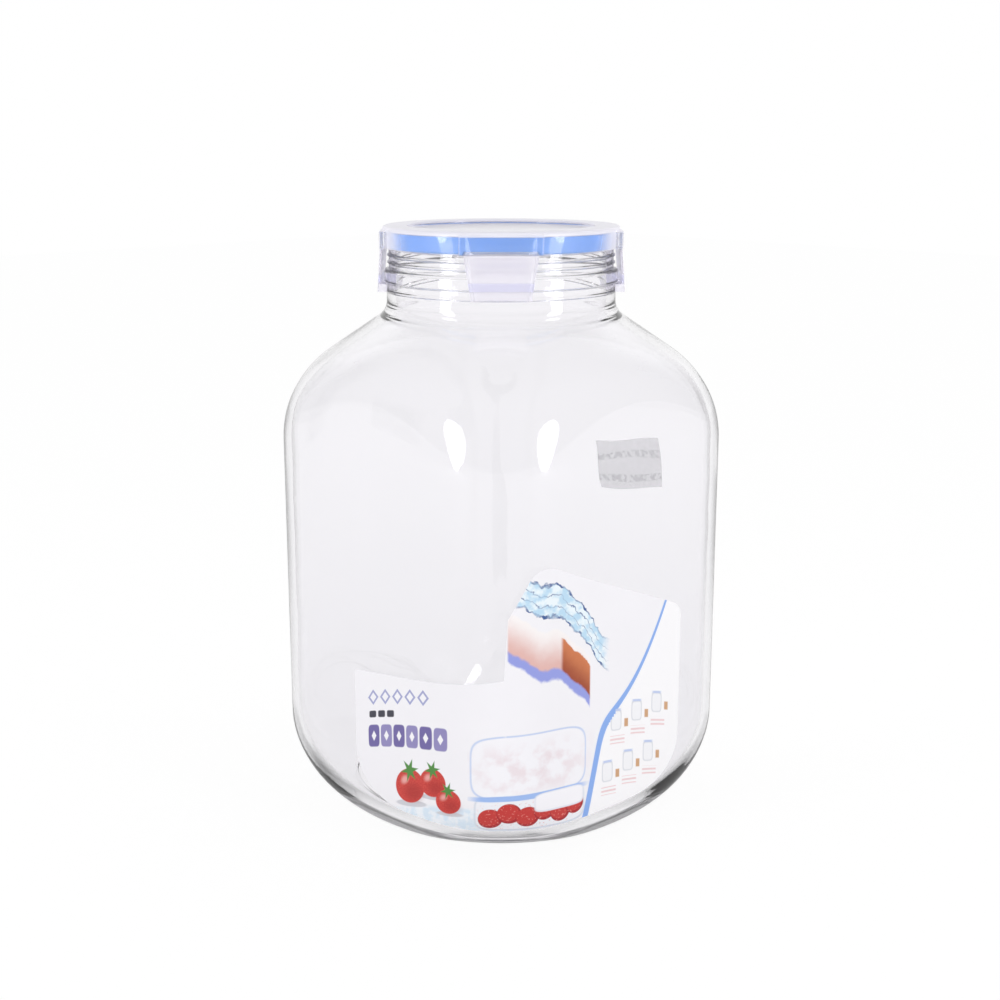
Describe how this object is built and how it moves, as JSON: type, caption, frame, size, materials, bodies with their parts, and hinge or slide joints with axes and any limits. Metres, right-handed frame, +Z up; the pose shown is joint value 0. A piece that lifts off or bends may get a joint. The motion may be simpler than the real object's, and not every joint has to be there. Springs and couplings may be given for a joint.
{
  "type": "airtight storage jar",
  "caption": "Rounded-square glass storage jar with a clip-down clear lid, blue sealing ring and hinged locking flaps, printed label on one corner.",
  "frame": {"origin": "centre of the base, on the surface the jar stands on", "axes": "+Z up through the mouth; the four flat walls face +X, -X, +Y and -Y; the labelled front corner points to +X -Y"},
  "size_m": [0.1564, 0.1568, 0.2505],
  "materials": {
    "glass": "clear",
    "lid_plastic": "clear, slightly frosted",
    "gasket": "satin silicone",
    "flap_plastic": "clear, slightly frosted",
    "label": "gloss printed",
    "sticker": "matt, half see-through"
  },
  "bodies": {
    "jar": {"glass_jar": "glass", "glass_neck": "glass", "lid": "lid_plastic", "gasket": "gasket", "front_label": "label", "price_sticker": "sticker"},
    "flap_front": {"flap_front": "flap_plastic"},
    "flap_right": {"flap_right": "flap_plastic"},
    "flap_back": {"flap_back": "flap_plastic"},
    "flap_left": {"flap_left": "flap_plastic"}
  },
  "joints": [
    {"name": "flap_front_hinge", "type": "hinge", "parent": "jar", "child": "flap_front", "pos_m": [0.03564, -0.03564, 0.24134], "axis": [-0.7071, -0.7071, 0], "range_deg": [0, 150]},
    {"name": "flap_right_hinge", "type": "hinge", "parent": "jar", "child": "flap_right", "pos_m": [0.03564, 0.03564, 0.24134], "axis": [0.7071, -0.7071, 0], "range_deg": [0, 150]},
    {"name": "flap_back_hinge", "type": "hinge", "parent": "jar", "child": "flap_back", "pos_m": [-0.03564, 0.03564, 0.24134], "axis": [0.7071, 0.7071, 0], "range_deg": [0, 150]},
    {"name": "flap_left_hinge", "type": "hinge", "parent": "jar", "child": "flap_left", "pos_m": [-0.03564, -0.03564, 0.24134], "axis": [-0.7071, 0.7071, 0], "range_deg": [0, 150]}
  ]
}
